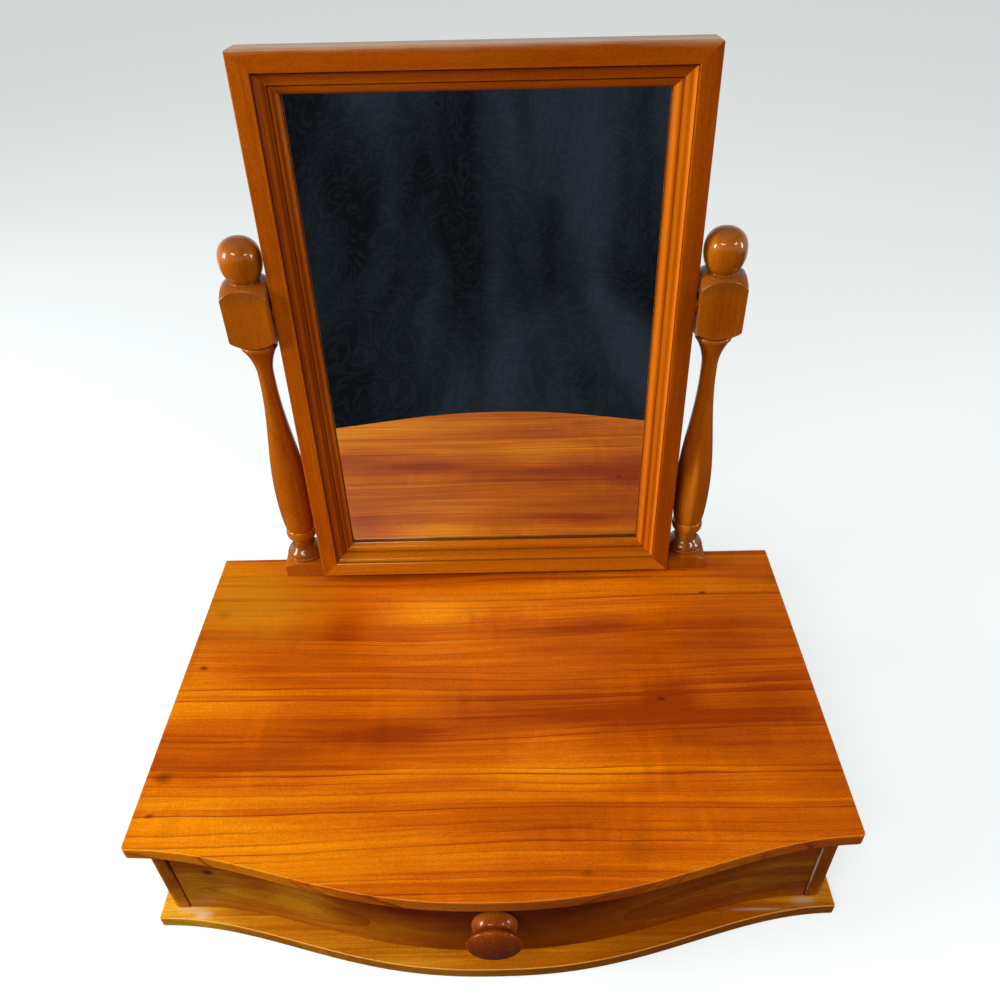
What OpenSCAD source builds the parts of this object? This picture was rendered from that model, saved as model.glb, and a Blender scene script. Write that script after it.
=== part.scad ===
// Table-top swing mirror on a bow-fronted box with one drawer.
// Millimetres. +Z is up, +X is the right-hand side, the drawer opens towards -Y.
// The origin is the middle of the base board's underside, at the height of the table.

/* [Case] */
// Width of the base board and of the top board
board_w = 450; // [400:5:540]
// Depth of both boards from the back edge to the crest of the bow
board_d = 293; // [270:1:340]
// How far the bowed front edge stands out past the boards' corners
bow_rise = 36.5; // [20:0.5:45]
// Thickness of the base board and of the top board
board_t = 10; // [9:0.5:14]
// Rounding of the top board's front corners, in plan
top_corner_r = 3; // [1:0.5:8]
// Rounding of the base board's front corners, in plan
base_corner_r = 1.2; // [1:0.1:8]
// Clear height between the two boards
bay_h = 77; // [72:1:120]
// Thickness of the side panels
panel_t = 12; // [10:0.5:16]
// Rounding of the side panels' outer front corner
panel_round = 6; // [3:0.5:11]
// How far the boards stand out past the side panels' outer faces
side_overhang = 7; // [3:0.5:12]
// How far the boards' corners stand out in front of the side panels
front_overhang = 7.3; // [3:0.1:14]
// Thickness of the back panel
back_t = 12; // [10:0.5:16]
// Diameter of the dowels that hold the top board on the side panels
dowel_d = 6; // [5:0.5:8]
// Depth of the dowel holes in the top board
dowel_in_board = 6; // [4:0.5:7]
// Depth of the dowel holes in the side panels
dowel_in_panel = 15; // [8:1:25]
// Shank diameter of the screws through the base board
base_screw_d = 4; // [3:0.5:5]
// Depth that the base screws reach into the panels
base_screw_grip = 20; // [12:1:30]

/* [Drawer] */
// Gap between the drawer front's ends and the side panels
drawer_gap = 1.2; // [0.6:0.1:3]
// Gap between the drawer front and the top board
drawer_top_gap = 1; // [0.5:0.1:3]
// Gap between the drawer and the base board that it slides on
drawer_lift = 0.3; // [0.3:0.1:0.8]
// How far the bowed drawer front stands out past its own ends
drawer_bow = 31.8; // [10:0.2:40]
// Thickness of the drawer front, measured front to back
front_t = 14; // [12:0.5:20]
// Thickness of the drawer sides and the drawer back
drawer_wall = 9; // [7:0.5:12]
// How much narrower the drawer sides stand than the drawer front, each side
side_inset = 0.8; // [0.2:0.1:2]
// Height of the drawer sides
drawer_side_h = 62; // [45:1:68]
// Thickness of front left over the ends of the drawer sides
rabbet_skin = 6; // [4:0.5:8]
// Thickness of the drawer bottom
bottom_t = 4; // [3:0.5:6]
// Height of the drawer bottom above the lower edge of the drawer sides
bottom_rise = 8; // [6:0.5:14]
// Depth of the grooves that hold the drawer bottom
groove_d = 5; // [3:0.5:6]
// Length of the stop blocks behind the drawer
stop_l = 12; // [8:1:25]
// Gap between the closed drawer and its stop blocks
stop_gap = 0.3; // [0.3:0.1:1]
// Height of the knob's centre above the base board
knob_h = 45.4; // [30:0.2:50]
// Diameter of the knob's head
knob_d = 33.8; // [24:0.2:40]
// Thickness of the knob's head
knob_head_t = 9.6; // [6:0.2:14]
// Diameter of the bead at the root of the knob
knob_bead_d = 28; // [18:0.5:32]
// Thickness of the bead at the root of the knob
knob_bead_t = 10; // [4:0.5:12]
// Length of the neck between the knob's bead and its head
knob_neck_l = 1.8; // [1.5:0.1:8]
// Diameter of the knob's neck
knob_neck_d = 17; // [10:0.5:18]
// Shank diameter of the knob's screw
knob_screw_d = 4; // [3:0.5:5]
// Depth that the knob's screw reaches into the knob
knob_screw_grip = 14; // [8:1:18]

/* [Pillars] */
// Side of the square stock that the pillars are turned from
pillar_w = 30; // [26:1:34]
// How far the pillars stand out behind the boards' back edge
foot_lap = 9; // [7:0.5:12]
// Length of the pillar's tongue below the top of the top board
tongue_l = 34; // [28:1:50]
// Shank diameter of the screws through the tongues
tongue_screw_d = 3.5; // [3:0.5:4.5]
// Depth that the tongue screws reach into the case
tongue_screw_grip = 9.5; // [6:0.5:9.5]
// Height of the square plinth at its corners
plinth_h = 10.3; // [8:0.1:16]
// Height of the mirror's pivot above the top board
pivot_h = 227.5; // [225:0.5:270]
// Height of the square block that carries the pivot, at its corners
block_h = 30; // [24:0.5:40]
// Diameter of the finial
finial_d = 28; // [22:0.5:34]
// Height of the finial above the block's crown
finial_h = 29; // [20:0.5:36]
// Largest diameter of the turned shaft
belly_d = 26.2; // [20:0.2:29]
// Smallest diameter of the turned shaft, under the block
neck_d = 11.2; // [10:0.2:16]

/* [Mirror] */
// Width of the mirror frame
frame_w = 276.4; // [240:0.2:330]
// Height of the mirror frame
frame_h = 380; // [340:1:400]
// Thickness of the mirror frame
frame_t = 19; // [18.6:0.2:24]
// Width of the frame rails
rail_w = 25; // [23:0.5:34]
// Width of the flat band along the frame's outer edge
band_w = 12.3; // [8:0.1:14]
// Depth of the glass behind the frame's front face
glass_depth = 11.5; // [10:0.1:11.9]
// Width of the rebate that the glass lies in
rebate_w = 8; // [6:0.5:9]
// Gap between the glass and the sides of its rebate
glass_gap = 0.5; // [0.2:0.1:1.5]
// Thickness of the mirror glass
glass_t = 3; // [2:0.5:3]
// Thickness of the backing board
backing_t = 3; // [2:0.5:3]
// Gap between the frame and the top board, with the frame upright
frame_lift = 4.3; // [3:0.1:10]
// Gap between the frame and each pillar
pivot_gap = 1.3; // [1.2:0.1:3]
// Backward tilt of the mirror at rest, in degrees
rest_tilt = 3; // [0:0.5:12]
// Diameter of the pivot pins
pivot_d = 6; // [4:0.5:8]
// Depth of the pivot pins in the frame, and of their bores in the pillars
pivot_grip = 13; // [9:0.5:16]

/* [Hidden] */

// Colours
honey = "#c4681c";
amber = "#b8701f";
russet = "#8e4a1c";
walnut = "#6d3415";
pine = "#d9b27c";
ply = "#c9a06a";
steel = "#9a9a9a";
brass = "#b9963f";
silver = "#cfd6d8";

// Fineness of the curves
$fn = 48;
bow_steps = 44;
round_steps = 6;
turn_steps = 10;

// Heights of the case
bay_z = board_t;
top_under_z = board_t + bay_h;
deck_z = top_under_z + board_t;

// Plan of the case
back_y = board_d / 2;
corner_y = -board_d / 2 + bow_rise;
panel_front_y = corner_y + front_overhang;
panel_out_x = board_w / 2 - side_overhang;
panel_in_x = panel_out_x - panel_t;
back_panel_y = back_y - back_t;
bow_power = 1.17;
screw_head_ratio = 2;
screw_head_drop = 0.3;

// Places along the side panels, from the front, as shares of the panel's depth
panel_fixings = [0.14, 0.5, 0.86];

// Drawer
drawer_x = panel_in_x - drawer_gap;
drawer_z = bay_z + drawer_lift;
drawer_top_z = top_under_z - drawer_top_gap;
side_out_x = drawer_x - side_inset;
side_in_x = side_out_x - drawer_wall;
side_front_y = panel_front_y + rabbet_skin;
drawer_back_y = back_panel_y - stop_l - stop_gap;
bottom_z = drawer_z + bottom_rise;
bottom_top_z = bottom_z + bottom_t;
side_top_z = drawer_z + drawer_side_h;
back_drop = 4;
stop_x = 0.58 * panel_in_x;
stop_w = 22;
stop_h = 18;
drawer_pin_d = 1.6;
drawer_pin_grip = 10;

// Knob
crest_y = panel_front_y - drawer_bow;
knob_z = bay_z + knob_h;
knob_l = knob_bead_t + knob_neck_l + knob_head_t;
knob_screw_head_d = 8;
knob_screw_head_t = 2.4;
knob_hole_play = 0.3;

// Pillars
pillar_x = frame_w / 2 + pivot_gap + pillar_w / 2;
pillar_y = back_y + foot_lap - pillar_w / 2;
corner_r = pillar_w / sqrt(2);
crown_r = 1.18 * corner_r;
skirt_r = 1.37 * corner_r;
block_z0 = pivot_h - block_h / 2;
block_z1 = pivot_h + block_h / 2;
crown_z = block_z1 - sqrt(crown_r * crown_r - corner_r * corner_r);
skirt_z = block_z0 + sqrt(skirt_r * skirt_r - corner_r * corner_r);
tongue_screw_z = [-0.5 * board_t, -tongue_l + 8];
tongue_play = 0.15;

// Turned profile of the pillars, measured up from the top board
shoulder_r = 14.4;
shoulder_z = plinth_h + 3.4;
rim_z = plinth_h + 5.6;
rim_r = 13.4;
flare_z = plinth_h + 6.6;
waist_z = plinth_h + 21.2;
waist_r = 8.3;
bead_z0 = plinth_h + 22;
bead_z1 = plinth_h + 31.2;
bead_r0 = 9.6;
bead_r1 = 11.8;
bulb_r = 10.2;
belly_z = plinth_h + 64.7;
neck_z = block_z0 - 37.5;
ring_z0 = block_z0 - 10.6;
ring_z1 = block_z0 - 7.4;
ring_r = 12.6;
throat_r = 11.2;
finial_foot_r = 9.4;
crown_flat_z = block_z1 + 7.2;
finial_foot_z = crown_flat_z;
finial_wide_z = finial_foot_z + 0.48 * finial_h;

// Mirror frame; its own origin is on the pivot axis
frame_z0 = frame_lift - pivot_h;
frame_z1 = frame_z0 + frame_h;
frame_mid_z = (frame_z0 + frame_z1) / 2;
frame_face = -frame_t / 2;
step_d = 1.5;
cove_d = 3.5;
fillet_d = 1.8;
moulding_w = rail_w - band_w - 0.4;
cove_w = 0.58 * moulding_w;
lip_t = 1;
sprig_d = 1.2;
sprig_grip = 5;
sprig_lap = 5;
pivot_z = deck_z + pivot_h;
pivot_play = 0.05;
pivot_end_gap = 0.6;
washer_d = 15;
washer_t = pivot_gap - 0.3;

// ---- Shared shapes ----

// Height of the bow, 1 at the crest and 0 at both ends, where u runs from -1 to 1
function bow(u) = (1 + cos(180 * pow(abs(u), bow_power))) / 2;

// Points of a bowed edge, from the right end to the left
function bow_line(half_w, full_w, end_y, rise) =
    [for (i = [0:bow_steps]) let (x = half_w * (1 - 2 * i / bow_steps))
        [x, end_y - rise * bow(x / full_w)]];

// Points of a quarter-round from angle a0, about a centre
function quarter(cx, cy, r, a0) =
    [for (i = [0:round_steps]) let (a = a0 + 90 * i / round_steps) [cx + r * cos(a), cy + r * sin(a)]];

// Plan of a bow-fronted board whose front corners are rounded to radius r
module board_plan(r) {
    half = board_w / 2;
    front = bow_line(half - r, half, corner_y, bow_rise);
    left_corner = quarter(-half + r, corner_y + r, r, 180);
    right_corner = quarter(half - r, corner_y + r, r, 270);
    inner = [for (i = [1:len(front) - 2]) front[len(front) - 1 - i]];
    polygon(concat([[half, back_y], [-half, back_y]], left_corner, inner, right_corner));
}

// A countersunk screw whose head lies in the plane z = 0 and whose shank runs up
module screw(d, l) {
    head = screw_head_ratio * d;
    cylinder(h = head / 4, d1 = head, d2 = d);
    cylinder(h = l, d = d);
}

// One screw hole or screw under each panel of the case, with its head sunk into the base board
module base_screw_set(d) {
    span = back_y - panel_front_y;
    length = board_t + base_screw_grip - screw_head_drop;
    for (s = [-1, 1], f = panel_fixings)
        translate([s * (panel_in_x + panel_t / 2), panel_front_y + f * span, screw_head_drop]) screw(d, length);
    for (s = [-1, 1])
        translate([s * panel_in_x / 2, back_y - back_t / 2, screw_head_drop]) screw(d, length);
}

// The sinkings that leave the base screws' heads clear of the table
module base_screw_mouths(d) {
    span = back_y - panel_front_y;
    for (s = [-1, 1], f = panel_fixings)
        translate([s * (panel_in_x + panel_t / 2), panel_front_y + f * span, -1])
            cylinder(h = 1 + screw_head_drop, d = screw_head_ratio * d);
    for (s = [-1, 1])
        translate([s * panel_in_x / 2, back_y - back_t / 2, -1])
            cylinder(h = 1 + screw_head_drop, d = screw_head_ratio * d);
}

// Dowels along the top edge of one side panel
module dowel_row(side) {
    span = back_y - panel_front_y;
    for (f = panel_fixings)
        translate([side * (panel_in_x + panel_t / 2), panel_front_y + f * span, top_under_z - dowel_in_panel])
            cylinder(h = dowel_in_panel + dowel_in_board, d = dowel_d);
}

// ---- Case ----

module base_board() {
    color(amber) difference() {
        linear_extrude(board_t) board_plan(base_corner_r);
        base_screw_set(base_screw_d);
        base_screw_mouths(base_screw_d);
    }
}

module top_board() {
    color(honey) difference() {
        translate([0, 0, top_under_z]) linear_extrude(board_t) board_plan(top_corner_r);
        for (s = [-1, 1]) {
            dowel_row(s);
            translate([s * pillar_x, 0, deck_z]) tongue_screw_set(tongue_screw_d);
        }
    }
}

// A side panel stands on the base board; its outer front corner is rounded
module side_panel(side) {
    r = min(panel_round, panel_t - 0.5);
    plan = concat([[panel_in_x, back_y], [panel_in_x, panel_front_y]],
        quarter(panel_out_x - r, panel_front_y + r, r, 270), [[panel_out_x, back_y]]);
    color(honey) difference() {
        translate([0, 0, bay_z]) linear_extrude(bay_h)
            polygon([for (p = plan) [side * p[0], p[1]]]);
        dowel_row(side);
        base_screw_set(base_screw_d);
    }
}

module side_panel_left() side_panel(-1);
module side_panel_right() side_panel(1);

module back_panel() {
    color(amber) difference() {
        translate([-panel_in_x, back_panel_y, bay_z]) cube([2 * panel_in_x, back_t, bay_h]);
        base_screw_set(base_screw_d);
        for (s = [-1, 1]) translate([s * pillar_x, 0, deck_z]) tongue_screw_set(tongue_screw_d);
    }
}

// Two blocks glued to the base board, which stop the drawer flush with the side panels
module drawer_stops() {
    color(pine) for (s = [-1, 1])
        translate([s * stop_x - stop_w / 2, back_panel_y - stop_l, bay_z]) cube([stop_w, stop_l, stop_h]);
}

module top_dowels() {
    color(pine) for (s = [-1, 1]) dowel_row(s);
}

module base_screws() {
    color(steel) base_screw_set(base_screw_d);
}

// ---- Drawer ----

// The bowed front is sawn to one thickness, rabbeted for the sides and grooved for the bottom
module drawer_front() {
    face = bow_line(drawer_x, drawer_x, panel_front_y, drawer_bow);
    inside = [for (i = [0:bow_steps]) face[bow_steps - i] + [0, front_t]];
    color(russet) difference() {
        translate([0, 0, drawer_z]) linear_extrude(drawer_top_z - drawer_z) polygon(concat(face, inside));
        for (s = [-1, 1])
            translate([s * (side_in_x + drawer_x + 1) / 2, side_front_y + front_t / 2, (drawer_z + side_top_z - 1) / 2])
                cube([drawer_x + 1 - side_in_x, front_t, side_top_z - drawer_z + 1], center = true);
        translate([0, 0, bottom_z]) linear_extrude(bottom_t) bottom_plan();
        translate([0, crest_y - 1, knob_z]) rotate([-90, 0, 0])
            cylinder(h = front_t + 2, d = knob_screw_d + knob_hole_play);
        translate([0, crest_y + front_t, knob_z]) rotate([-90, 0, 0])
            cylinder(h = 2, d = knob_screw_head_d + 0.5);
    }
}

module drawer_side(side) {
    w = side_out_x - side_in_x;
    color(pine) difference() {
        translate([side * (side_in_x + w / 2), (side_front_y + drawer_back_y) / 2, (drawer_z + side_top_z) / 2])
            cube([w, drawer_back_y - side_front_y, side_top_z - drawer_z], center = true);
        translate([side * (side_in_x + groove_d / 2 - 0.5), 0, bottom_z + bottom_t / 2])
            cube([groove_d + 1, 2 * board_d, bottom_t], center = true);
    }
}

module drawer_side_left() drawer_side(-1);
module drawer_side_right() drawer_side(1);

module drawer_back() {
    color(pine) difference() {
        translate([-side_in_x, drawer_back_y - drawer_wall, bottom_top_z])
            cube([2 * side_in_x, drawer_wall, side_top_z - back_drop - bottom_top_z]);
        drawer_pin_set();
    }
}

// Plan of the drawer bottom, which follows the bow and reaches into the grooves
module bottom_plan() {
    half = side_in_x + groove_d;
    front = bow_line(half, drawer_x, panel_front_y + front_t - groove_d, drawer_bow);
    polygon(concat([[-half, drawer_back_y], [half, drawer_back_y]], front));
}

module drawer_bottom() {
    color(ply) difference() {
        translate([0, 0, bottom_z]) linear_extrude(bottom_t) bottom_plan();
        drawer_pin_set();
    }
}

// Pins driven up through the bottom into the drawer back
module drawer_pin_set() {
    for (i = [-1:1])
        translate([i * 0.72 * side_in_x, drawer_back_y - drawer_wall / 2, bottom_z])
            cylinder(h = bottom_t + drawer_pin_grip, d = drawer_pin_d);
}

module drawer_pins() {
    color(steel) drawer_pin_set();
}

// Half of a knob's outline: radius against distance from the drawer front
function knob_outline() = let (
        neck_s = knob_bead_t + knob_neck_l,
        head_s = neck_s + knob_head_t / 2,
        head_a = asin(min(0.95, knob_neck_d / knob_d)))
    concat([[0, 0]],
        [for (i = [0:turn_steps]) let (a = 50 - 100 * i / turn_steps)
            [knob_bead_d / 2 * cos(a), knob_bead_t * (1 - sin(a) / sin(50)) / 2]],
        [[knob_neck_d / 2, knob_bead_t + knob_neck_l / 2]],
        [for (i = [0:2 * turn_steps]) let (a = head_a + (180 - head_a) * i / (2 * turn_steps))
            [knob_d / 2 * sin(a), head_s - knob_head_t / 2 * cos(a)]]);

module drawer_knob() {
    color(walnut) difference() {
        translate([0, crest_y, knob_z]) rotate([90, 0, 0]) rotate_extrude() polygon(knob_outline());
        knob_screw_shank();
    }
}

module knob_screw_shank() {
    translate([0, crest_y - min(knob_screw_grip, knob_l - 4), knob_z]) rotate([-90, 0, 0])
        cylinder(h = front_t + min(knob_screw_grip, knob_l - 4), d = knob_screw_d);
}

module knob_screw() {
    color(steel) {
        knob_screw_shank();
        translate([0, crest_y + front_t, knob_z]) rotate([-90, 0, 0])
            cylinder(h = knob_screw_head_t, d = knob_screw_head_d);
    }
}

// ---- Pillars ----

// Points eased from one radius to another, flat at both ends
function ease(z0, r0, z1, r1) =
    [for (i = [0:turn_steps]) let (t = i / turn_steps)
        [r0 + (r1 - r0) * (1 - cos(180 * t)) / 2, z0 + (z1 - z0) * t]];

// Points of a flare that opens downwards, steepest at its lower end
function flare(z0, r0, z1, r1) =
    [for (i = [0:turn_steps]) let (t = 1 - i / turn_steps)
        [r0 + (r1 - r0) * pow(t, 1.25), z0 + (z1 - z0) * t]];

// Points of a trumpet that opens upwards from radius r0
function trumpet(z0, r0, z1, r1) =
    [for (i = [0:turn_steps]) let (t = i / turn_steps) [r0 + (r1 - r0) * t * t, z0 + (z1 - z0) * t]];

// Points of a quarter ellipse from radius r0 out to r1, upright where it meets r1
function swell(z0, r0, z1, r1) =
    [for (i = [0:turn_steps]) let (a = 90 * i / turn_steps)
        [r0 + (r1 - r0) * sin(a), z1 - (z1 - z0) * cos(a)]];

// Points of a half-round bead that stands out to r1
function bead(z0, z1, r0, r1) =
    [for (i = [0:turn_steps]) let (a = 180 * i / turn_steps)
        [r0 + (r1 - r0) * sin(a), (z0 + z1) / 2 - (z1 - z0) / 2 * cos(a)]];

// The turned shaft between the plinth and the block
function shaft_outline() = concat(
    [[0, plinth_h - 3], [corner_r + 1, plinth_h - 3], [corner_r + 1, plinth_h - 0.5]],
    [[shoulder_r, shoulder_z], [shoulder_r, rim_z], [rim_r, rim_z]],
    flare(waist_z, waist_r, flare_z, rim_r),
    bead(bead_z0, bead_z1, bead_r0, bead_r1),
    swell(bead_z1, bulb_r, belly_z, belly_d / 2),
    ease(belly_z + 1, belly_d / 2, neck_z, neck_d / 2),
    trumpet(neck_z + 6, neck_d / 2, ring_z0 - 0.2, ring_r - 0.9),
    bead(ring_z0, ring_z1, ring_r - 0.7, ring_r),
    [[throat_r, ring_z1 + 0.2], [throat_r, block_z0 + 2], [0, block_z0 + 2]]);

// The finial, an egg standing on a short collar
function finial_outline() = let (low_h = (finial_wide_z - finial_foot_z) / cos(asin(2 * finial_foot_r / finial_d)),
        a0 = -acos(min(0.95, 2 * finial_foot_r / finial_d)))
    concat([[0, block_z1 - 2], [finial_foot_r, block_z1 - 2]],
        [for (i = [0:2 * turn_steps]) let (a = a0 + (90 - a0) * i / (2 * turn_steps),
                h = a < 0 ? finial_wide_z - finial_foot_z : finial_foot_z + finial_h - finial_wide_z)
            [finial_d / 2 * cos(a), finial_wide_z + (a < 0 ? h / sin(-a0) : h) * sin(a)]]);

module square_bar(z0, z1) {
    translate([-pillar_w / 2, -pillar_w / 2, z0]) cube([pillar_w, pillar_w, z1 - z0]);
}

// The pivot block: square stock whose ends were rounded by the turning, flat under the finial
module pivot_block() {
    intersection() {
        square_bar(block_z0 - corner_r, crown_flat_z);
        translate([0, 0, crown_z]) sphere(r = crown_r, $fn = 96);
        translate([0, 0, skirt_z]) sphere(r = skirt_r, $fn = 96);
    }
}

// Screws along +Y through a tongue into the case; their heads are flush with its back
module tongue_screw_set(d) {
    for (z = tongue_screw_z)
        translate([0, back_y + foot_lap - tongue_play, z]) rotate([90, 0, 0])
            screw(d, foot_lap - tongue_play + tongue_screw_grip);
}

module tongue_screw_mouths(d) {
    for (z = tongue_screw_z)
        translate([0, back_y + foot_lap + 1, z]) rotate([90, 0, 0])
            cylinder(h = 1 + tongue_play, d = screw_head_ratio * d);
}

module pillar(side) {
    inner = -side * pillar_w / 2;
    color(honey) translate([side * pillar_x, 0, deck_z]) difference() {
        union() {
            translate([0, pillar_y, 0]) {
                square_bar(0, plinth_h - 2);
                intersection() {
                    square_bar(plinth_h - 2.5, block_z0 + 1);
                    rotate_extrude() polygon(shaft_outline());
                }
                pivot_block();
                rotate_extrude() polygon(finial_outline());
            }
            translate([-pillar_w / 2, back_y, -tongue_l]) cube([pillar_w, foot_lap, tongue_l + plinth_h / 2]);
        }
        tongue_screw_set(tongue_screw_d);
        tongue_screw_mouths(tongue_screw_d);
        translate([inner, pillar_y, pivot_h]) rotate([0, side * 90, 0]) translate([0, 0, -1])
            cylinder(h = pivot_grip + pivot_end_gap + 1, d = pivot_d + 2 * pivot_play);
    }
}

module pillar_left() pillar(-1);
module pillar_right() pillar(1);

module pillar_screws() {
    color(brass) for (s = [-1, 1]) translate([s * pillar_x, 0, deck_z]) tongue_screw_set(tongue_screw_d);
}

// ---- Mirror ----

// Puts what is drawn about the pivot axis in its place, leaning back
module hung() {
    translate([0, pillar_y, pivot_z]) rotate([-rest_tilt, 0, 0]) children();
}

// Section of a frame rail: x inward from the outer edge, y back from the front face
function rail_section() = let (
        cove_x = band_w + 0.2, cove_end = cove_x + cove_w,
        ovolo_x = cove_end + 0.2, ovolo_w = rail_w - 0.4 - ovolo_x,
        ovolo_y = step_d + cove_d + fillet_d, ovolo_end = glass_depth - lip_t)
    concat([[0, 1], [1, 0], [band_w, 0], [cove_x, step_d]],
        [for (i = [1:round_steps]) let (a = 90 * i / round_steps)
            [cove_end - cove_w * cos(a), step_d + cove_d * sin(a)]],
        [for (i = [0:round_steps]) let (a = 90 * i / round_steps)
            [ovolo_x + ovolo_w * sin(a), ovolo_end - (ovolo_end - ovolo_y) * cos(a)]],
        [[rail_w, ovolo_end + 0.1], [rail_w, glass_depth], [rail_w - rebate_w, glass_depth],
            [rail_w - rebate_w, frame_t], [1, frame_t], [0, frame_t - 1]]);

// A rail along X with its outer edge at z = 0, mitred at both ends; pins are places along it
module rail(length, pins) {
    difference() {
        intersection() {
            rotate([90, 0, 90]) linear_extrude(length + 2, center = true)
                polygon([for (p = rail_section()) [frame_face + p[1], p[0]]]);
            rotate([90, 0, 0]) linear_extrude(2 * frame_t, center = true)
                polygon([[-length / 2, 0], [length / 2, 0],
                    [length / 2 - rail_w, rail_w], [-length / 2 + rail_w, rail_w]]);
        }
        sprigs(pins);
    }
}

// Headless pins that hold the backing board in the rebate of one rail
module sprigs(pins) {
    for (x = pins)
        translate([x, frame_face + glass_depth + glass_t + backing_t + sprig_d / 2, rail_w - rebate_w - sprig_grip])
            cylinder(h = sprig_grip + sprig_lap + glass_gap, d = sprig_d, $fn = 16);
}

cross_pins = [-frame_w / 5, frame_w / 5];
stile_pins = [-frame_h / 3, 0, frame_h / 3];

module at_bottom() translate([0, 0, frame_z0]) children();
module at_top() translate([0, 0, frame_z1]) rotate([0, 180, 0]) children();
module at_side(side) translate([side * frame_w / 2, 0, frame_mid_z]) rotate([0, -side * 90, 0]) children();

module frame_bottom_rail() color(honey) hung() at_bottom() rail(frame_w, cross_pins);
module frame_top_rail() color(honey) hung() at_top() rail(frame_w, cross_pins);

module frame_stile(side) {
    color(honey) hung() difference() {
        at_side(side) rail(frame_h, stile_pins);
        translate([side * (frame_w / 2 - pivot_grip), 0, 0]) rotate([0, side * 90, 0])
            cylinder(h = pivot_grip + 1, d = pivot_d);
    }
}

module frame_stile_left() frame_stile(-1);
module frame_stile_right() frame_stile(1);

// A sheet in the rebate, between two depths behind the frame's front face
module sheet(depth, thickness) {
    margin = rail_w - rebate_w + glass_gap;
    hung() translate([-frame_w / 2 + margin, frame_face + depth, frame_z0 + margin])
        cube([frame_w - 2 * margin, thickness, frame_h - 2 * margin]);
}

module mirror_glass() color(silver) sheet(glass_depth, glass_t);
module backing_board() color(ply) sheet(glass_depth + glass_t, backing_t);

module backing_pins() {
    color(steel) hung() {
        at_bottom() sprigs(cross_pins);
        at_top() sprigs(cross_pins);
        for (s = [-1, 1]) at_side(s) sprigs(stile_pins);
    }
}

// Steel pins, tight in the stiles and free to turn in the pillars' blocks
module pivot_pin(side) {
    color(steel) hung() translate([side * (frame_w / 2 - pivot_grip), 0, 0]) rotate([0, side * 90, 0])
        cylinder(h = 2 * pivot_grip + pivot_gap, d = pivot_d);
}

module pivot_pin_left() pivot_pin(-1);
module pivot_pin_right() pivot_pin(1);

// Friction washers in the gaps between the frame and the pillars
module pivot_washer(side) {
    color(brass) hung() translate([side * frame_w / 2, 0, 0]) rotate([0, side * 90, 0]) difference() {
        cylinder(h = washer_t, d = washer_d);
        translate([0, 0, -1]) cylinder(h = washer_t + 2, d = pivot_d);
    }
}

module pivot_washer_left() pivot_washer(-1);
module pivot_washer_right() pivot_washer(1);

base_board();
top_board();
side_panel_left();
side_panel_right();
back_panel();
drawer_stops();
top_dowels();
base_screws();
drawer_front();
drawer_side_left();
drawer_side_right();
drawer_back();
drawer_bottom();
drawer_pins();
drawer_knob();
knob_screw();
pillar_left();
pillar_right();
pillar_screws();
frame_top_rail();
frame_bottom_rail();
frame_stile_left();
frame_stile_right();
mirror_glass();
backing_board();
backing_pins();
pivot_pin_left();
pivot_pin_right();
pivot_washer_left();
pivot_washer_right();
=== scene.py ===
from math import acos, asin, cos, pi, radians, sin, sqrt

import bmesh
import bpy
from mathutils import Matrix, Vector


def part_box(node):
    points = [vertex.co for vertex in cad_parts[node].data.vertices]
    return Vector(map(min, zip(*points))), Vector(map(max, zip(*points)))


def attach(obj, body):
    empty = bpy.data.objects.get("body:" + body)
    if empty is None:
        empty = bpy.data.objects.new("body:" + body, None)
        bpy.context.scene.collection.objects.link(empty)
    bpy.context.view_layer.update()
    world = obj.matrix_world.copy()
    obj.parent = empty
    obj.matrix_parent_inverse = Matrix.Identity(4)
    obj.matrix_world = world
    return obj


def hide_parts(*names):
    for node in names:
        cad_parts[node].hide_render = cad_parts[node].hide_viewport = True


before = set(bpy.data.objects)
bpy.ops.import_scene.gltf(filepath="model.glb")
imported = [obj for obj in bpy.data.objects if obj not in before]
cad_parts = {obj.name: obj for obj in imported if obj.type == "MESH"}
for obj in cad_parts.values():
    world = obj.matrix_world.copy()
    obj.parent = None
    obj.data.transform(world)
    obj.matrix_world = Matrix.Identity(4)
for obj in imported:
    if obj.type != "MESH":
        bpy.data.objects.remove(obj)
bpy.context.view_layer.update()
scene = bpy.context.scene


# ---- Base board ----
# A 10 mm cherry board, stained honey and lacquered. Its front edge is band-sawn to a
# serpentine and its upper arris is rounded over by hand. Eight countersunk screws come up
# through it into the side panels and the back panel.

def linear(code):
    """Turns an sRGB hex colour to linear."""
    parts = [int(code[i:i + 2], 16) / 255 for i in (1, 3, 5)]
    return tuple(c / 12.92 if c <= 0.04045 else ((c + 0.055) / 1.055) ** 2.4 for c in parts) + (1,)


def blank(made):
    """Switches a new material or world to nodes, with none in it yet."""
    made.use_nodes = True
    made.node_tree.nodes.clear()
    return made


def add(material, kind, inputs={}, **settings):
    """Adds a shader node; inputs holds, by socket name or number, values and sockets to link."""
    made = material.node_tree.nodes.new(kind)
    for key, value in settings.items():
        setattr(made, key, value)
    for key, value in inputs.items():
        if isinstance(value, bpy.types.NodeSocket):
            material.node_tree.links.new(value, made.inputs[key])
        else:
            made.inputs[key].default_value = value
    return made.outputs


def calc(mat, operation, *values):
    """Does a sum with one, two or three numbers."""
    return add(mat, "ShaderNodeMath", dict(enumerate(values)), operation=operation)[0]


def vec(mat, operation, *values):
    """Does a sum with vectors; LENGTH gives a number."""
    made = add(mat, "ShaderNodeVectorMath", dict(enumerate(values)), operation=operation)
    return made["Value" if operation == "LENGTH" else "Vector"]


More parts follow.
